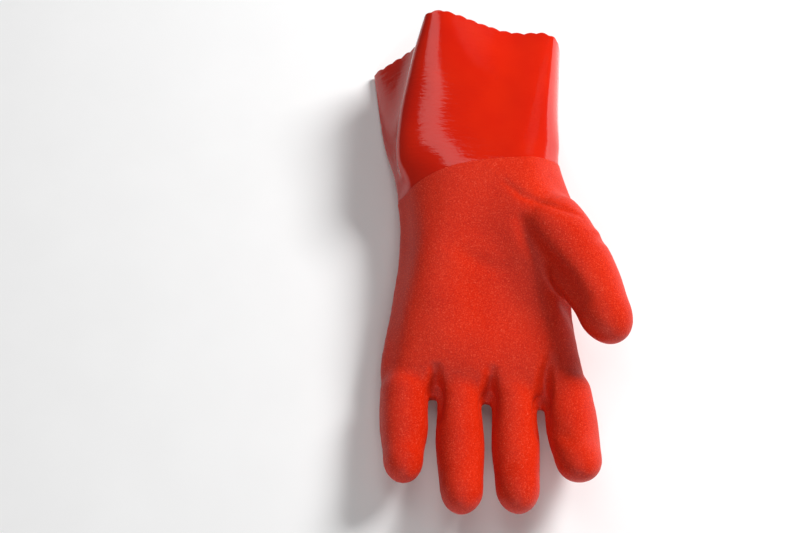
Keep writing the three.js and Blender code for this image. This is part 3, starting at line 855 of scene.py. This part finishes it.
# %% [markdown]
# Gritty PVC of the hand
#
# The grip coat is plasticised PVC with fine sand or crumb stirred in, dipped and baked. It reflects
# light in every direction, so it has no clear highlight: each grain catches a little light on one
# side, which the eye sees as a fine pink speckle on a strong orange red, and a paler bloom where the
# surface turns away. Here the speckle is painted into the colour. Its pink specks are painted glints
# of light on the grains, mixed with the grit's own uneven red, and the bloom is the shader's sheen.
# The real grains are about 0.4 mm, finer than a pixel of the picture, so they are drawn at 0.75 mm
# to show as the speckle that the picture has.

# %% Material: gritty PVC
GRAIN = 0.75
LUMP = 2.6  # small heaps of grit
CLOUD = 30.0  # patches of a slightly other red


def gritty_pvc(tree):
    """Red PVC with grit in it: matt, with glints painted on its grains and a sheen bloom at grazing
    angles.
    """
    grain = noise_of(tree, GRAIN, detail=3.0, roughness=0.7)
    lumps = noise_of(tree, LUMP)
    clouds = noise_of(tree, CLOUD)
    # The grain noise runs from dark red to pale pink. The pale pink specks are painted glints of light
    # on the grains, mixed with the grit's own uneven red.
    grit_red_and_painted_glints = ramp(tree, grain, [(0.33, "#AC1300"), (0.5, "#CA2000"), (0.58, "#D6300E"),
                                 (0.7, "#EC6650")])
    cloudy = ramp(tree, clouds, [(0.35, "#C61E00"), (0.65, "#D82C0C")])
    base = add(tree, "ShaderNodeMix", {"data_type": "RGBA", "Factor": 0.35},
               {"A": grit_red_and_painted_glints, "B": cloudy})
    gritty = add(tree, "ShaderNodeBump", {"Strength": 0.55, "Distance": 0.35 * MM},
                 {"Height": grain})
    lumpy = add(tree, "ShaderNodeBump", {"Strength": 0.35, "Distance": 0.4 * MM},
                {"Height": lumps, "Normal": gritty.outputs[0]})
    dull = add(tree, "ShaderNodeMapRange", {"To Min": 0.45, "To Max": 0.65}, {"Value": grain})
    return add(tree, "ShaderNodeBsdfPrincipled",
               {"IOR": 1.5, "Specular IOR Level": 0.4, "Sheen Weight": 0.04, "Sheen Roughness": 0.4,
                "Sheen Tint": colour("#F0A090")},
               {"Base Color": base.outputs["Result"], "Roughness": dull.outputs[0],
                "Normal": lumpy.outputs[0]})


gritty = make_material(gritty_pvc)

# %% [markdown]
# Smooth PVC of the cuff
#
# The first coat is the same red PVC without grit. It dries as smooth as enamel, so a softbox shows in
# it as one clear, pale streak. Up close the streak's edge is ragged, because the knitted liner
# below pulls the skin into very fine wrinkles that run across the cuff, about 1.6 mm apart and
# some 7 mm long. They are bump, being far too shallow to show in the outline.

# %% Material: smooth PVC
WRINKLE_PITCH = 1.6
WRINKLE_LENGTH = 7.0
DIMPLE_PITCH = 5.0  # shallow dimples among them
DIMPLE_LENGTH = 9.0


def smooth_pvc(tree):
    """Red PVC as it dries without grit: glossy, with very fine wrinkles across the cuff."""
    wrinkles = noise_of(tree, (WRINKLE_LENGTH, WRINKLE_PITCH, WRINKLE_LENGTH))
    dimples = noise_of(tree, (DIMPLE_LENGTH, DIMPLE_PITCH, DIMPLE_LENGTH), detail=1.0)
    clouds = noise_of(tree, CLOUD)
    base = ramp(tree, clouds, [(0.3, "#C41600"), (0.7, "#CE1E00")])
    fine = add(tree, "ShaderNodeBump", {"Strength": 0.8, "Distance": 0.16 * MM},
               {"Height": wrinkles})
    soft = add(tree, "ShaderNodeBump", {"Strength": 0.15, "Distance": 0.2 * MM},
               {"Height": dimples, "Normal": fine.outputs[0]})
    return add(tree, "ShaderNodeBsdfPrincipled", {"IOR": 1.5, "Roughness": 0.12},
               {"Base Color": base, "Normal": soft.outputs[0]})


smooth = make_material(smooth_pvc)

# %% [markdown]
# The trimmed edge
#
# Where the blade went through, the vinyl shows its unskinned inside: the same red, but dull and a
# little paler. It is a thin band round the mouth.

# %% Material: cut PVC
CUT_GRAIN = 1.2


def cut_pvc(tree):
    """PVC where it was cut: dull and a little paler than its skin."""
    base = ramp(tree, noise_of(tree, CUT_GRAIN), [(0.3, "#C23A28"), (0.7, "#D9604E")])
    return add(tree, "ShaderNodeBsdfPrincipled", {"IOR": 1.5, "Roughness": 0.6},
               {"Base Color": base})


cut = make_material(cut_pvc)

# %% [markdown]
# The scalloped mouth, by Geometry Nodes
#
# The blade leaves small round lobes all round the mouth, with a notch between each two. They
# repeat along a path, which is what Geometry Nodes do best. The cuff carries two numbers on every
# point: how far it is round the mouth, and how far from it. The tree turns the first into a row of
# arches, |sin|, makes them a little uneven, and moves the points along the glove by that, less and
# less away from the mouth. It also gives the wall and the cut edge their materials. Its sizes are
# named inputs, so that the pitch and the depth can be changed in the modifier.

# %% Geometry Nodes: scallops
SCALLOP_PITCH = 7.5
SCALLOP_DEPTH = 1.0
SCALLOP_REACH = 4.0  # how far from the mouth a point still moves
UNEVENNESS = 3.0  # how far the mouth strays from a clean cut
STRAY_SCALE = 0.09  # per millimetre, so it strays over some 11 mm
ON_THE_EDGE = 0.01  # a face this near to the mouth is part of the cut


def add_sockets(tree):
    """The tree's output and its named inputs."""
    tree.interface.new_socket(name="Cuff", in_out="OUTPUT", socket_type="NodeSocketGeometry")
    for name, kind in (("Cuff", "Geometry"), ("Pitch", "Float"), ("Depth", "Float"),
                       ("Reach", "Float"), ("Unevenness", "Float"),
                       ("Wall Material", "Material"), ("Edge Material", "Material")):
        tree.interface.new_socket(name=name, in_out="INPUT", socket_type=f"NodeSocket{kind}")


def maths(tree, operation, a, b=None):
    """What a maths node makes of numbers or sockets."""
    node = add(tree, "ShaderNodeMath", {"operation": operation})
    for index, value in enumerate((a, b)):
        if isinstance(value, (int, float)):
            node.inputs[index].default_value = value
        elif value is not None:
            tree.links.new(value, node.inputs[index])
    return node.outputs[0]


def carried(tree, name):
    """A number that the cuff carries on every point."""
    node = add(tree, "GeometryNodeInputNamedAttribute", {"data_type": "FLOAT", "Name": name})
    return node.outputs[0]


def lobe_offset(tree, given, away):
    """How every point moves for the lobes and for the mouth's unevenness."""
    turns = maths(tree, "DIVIDE", carried(tree, "around"), given["Pitch"])
    arch = maths(tree, "ABSOLUTE", maths(tree, "SINE", maths(tree, "MULTIPLY", turns, math.pi)))
    lobes = maths(tree, "MULTIPLY", maths(tree, "SUBTRACT", arch, 0.5), given["Depth"])
    place = add(tree, "GeometryNodeInputPosition")
    chance = add(tree, "ShaderNodeTexNoise", {"Scale": STRAY_SCALE, "Detail": 1.0},
                 {"Vector": place.outputs[0]})
    stray = maths(tree, "SUBTRACT", chance.outputs[0], 0.5)
    uneven = maths(tree, "MULTIPLY", stray, given["Unevenness"])
    near = add(tree, "ShaderNodeMapRange",
               {"interpolation_type": "SMOOTHSTEP", "To Min": 1.0, "To Max": 0.0},
               {"Value": away, "From Max": given["Reach"]})
    move = maths(tree, "MULTIPLY", maths(tree, "ADD", lobes, uneven), near.outputs[0])
    return add(tree, "ShaderNodeCombineXYZ", links={"Y": move}).outputs[0]


def scallop_tree():
    """The node tree that waves the cuff's mouth and sets its materials."""
    tree = bpy.data.node_groups.new("scalloped_mouth", "GeometryNodeTree")
    add_sockets(tree)
    given = add(tree, "NodeGroupInput").outputs
    away = carried(tree, "from_mouth")
    moved = add(tree, "GeometryNodeSetPosition",
                links={"Geometry": given["Cuff"], "Offset": lobe_offset(tree, given, away)})
    real = add(tree, "GeometryNodeRealizeInstances", links={"Geometry": moved.outputs[0]})
    walls = add(tree, "GeometryNodeSetMaterial",
                links={"Geometry": real.outputs[0], "Material": given["Wall Material"]})
    on_edge = maths(tree, "LESS_THAN", away, ON_THE_EDGE)
    edge = add(tree, "GeometryNodeSetMaterial",
               links={"Geometry": walls.outputs[0], "Selection": on_edge,
                      "Material": given["Edge Material"]})
    add(tree, "NodeGroupOutput", links={0: edge.outputs[0]})
    return tree


def set_input(modifier, name, value):
    """Sets a modifier's input by its socket's identifier."""
    for item in modifier.node_group.interface.items_tree:
        if item.in_out == "INPUT" and item.name == name:
            modifier[item.identifier] = value


scallops = cuff.modifiers.new("scallops", "NODES")
scallops.node_group = scallop_tree()
lobe_count = round(MOUTH_GIRTH / SCALLOP_PITCH)
for name, value in (("Pitch", MOUTH_GIRTH / lobe_count), ("Depth", SCALLOP_DEPTH),
                    ("Reach", SCALLOP_REACH), ("Unevenness", UNEVENNESS),
                    ("Wall Material", smooth), ("Edge Material", cut)):
    set_input(scallops, name, value)
make_plain(cuff)
for name in ("around", "from_mouth"):
    cuff.data.attributes.remove(cuff.data.attributes[name])
print(lobe_count, "scallops round the mouth")

# %% [markdown]
# Finish the two pieces
#
# Both meshes are scaled to metres and shaded smooth except at real corners. Each rides on the part's
# one body and stands in for its CAD node, which is hidden.

# %% Hand the pieces over
CORNER = math.radians(50)  # a sharper angle between two faces shows as an edge
hand.data.materials.append(gritty)
for thing, node, slot in ((hand, "hand_coat", "sandy_vinyl"),
                          (cuff, "gauntlet_cuff", "gloss_vinyl")):
    set_points(thing, points_of(thing) * MM)
    thing.data.polygons.foreach_set("use_smooth", [True] * len(thing.data.polygons))
    thing.data.set_sharp_from_angle(angle=CORNER)
    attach(thing, "root")
    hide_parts(node)
    thing.data.calc_loop_triangles()
    print(thing.name, len(thing.data.loop_triangles), "triangles")

# %% [markdown]
# Floor and light
#
# The glove was photographed on white, under soft studio light. A pale matt floor carries it here. The
# main light is a softbox half a metre wide, high on the thumb's side, which shades the folded left
# wall of the cuff and the palm beside the thumb. The cuff shows no mirror image of it, as if it had a
# polariser, so it is kept out of reflections. A second softbox hangs almost overhead, where the cuff
# mirrors it as one pale streak along its ridge. A third stands in front and lights the fingertips.
# The sky is dim, so that the smooth vinyl stays deep red elsewhere.
#
# A light is given by its radiance, which is how bright it looks, so that a new size or distance
# doesn't change how it looks in a reflection.

# %% Build the stage
FLOOR_SIZE = 6.0
FLOOR_DROP = 0.0002  # keeps the floor clear of the faces that rest on it
PAPER_CLOUD = 40.0
SKY_STRENGTH = 0.12
floor_mesh = bpy.data.meshes.new("floor")
edge = FLOOR_SIZE / 2
floor_mesh.from_pydata([(-edge, -edge, 0), (edge, -edge, 0), (edge, edge, 0), (-edge, edge, 0)],
                       [], [(0, 1, 2, 3)])
floor = bpy.data.objects.new("floor", floor_mesh)
bpy.context.scene.collection.objects.link(floor)
floor.location.z = -FLOOR_DROP


def white_paper(tree):
    """Matt white paper."""
    tint = ramp(tree, noise_of(tree, PAPER_CLOUD), [(0.3, "#F6F6F6"), (0.7, "#F8F8F8")])
    return add(tree, "ShaderNodeBsdfPrincipled", {"Roughness": 0.9}, {"Base Color": tint})


floor_mesh.materials.append(make_material(white_paper))


def softbox(name, direction, distance, size, radiance, mirrored=True, turn=0.0):
    """An area light in a direction from the glove, turned in its own plane by some degrees."""
    light = bpy.data.lights.new(name, "AREA")
    light.shape = "RECTANGLE"
    light.size, light.size_y = size
    light.energy = radiance * math.pi * size[0] * size[1]
    lamp = bpy.data.objects.new(name, light)
    way = Vector(direction).normalized()
    lamp.location = way * distance
    facing = way.to_track_quat("Z", "Y").to_euler()
    facing.rotate_axis("Z", math.radians(turn))
    lamp.rotation_euler = facing
    lamp.visible_glossy = mirrored
    bpy.context.scene.collection.objects.link(lamp)


softbox("key_softbox", direction=(0.62, 0.48, 0.62), distance=1.4, size=(0.5, 0.5),
        radiance=31.0, mirrored=False)
softbox("streak_softbox", direction=(-0.09, 0.2, 0.98), distance=1.3, size=(0.48, 1.1),
        radiance=1.6, turn=14)
softbox("front_softbox", direction=(-0.1, -1.0, 0.75), distance=1.4, size=(0.6, 0.4),
        radiance=6.0)
world = bpy.data.worlds.new("dim_studio")
world.use_nodes = True
sky = world.node_tree.nodes["Background"]
sky.inputs["Color"].default_value = colour("#FFFFFF")
sky.inputs["Strength"].default_value = SKY_STRENGTH
bpy.context.scene.world = world
bpy.context.scene.view_settings.view_transform = "Standard"
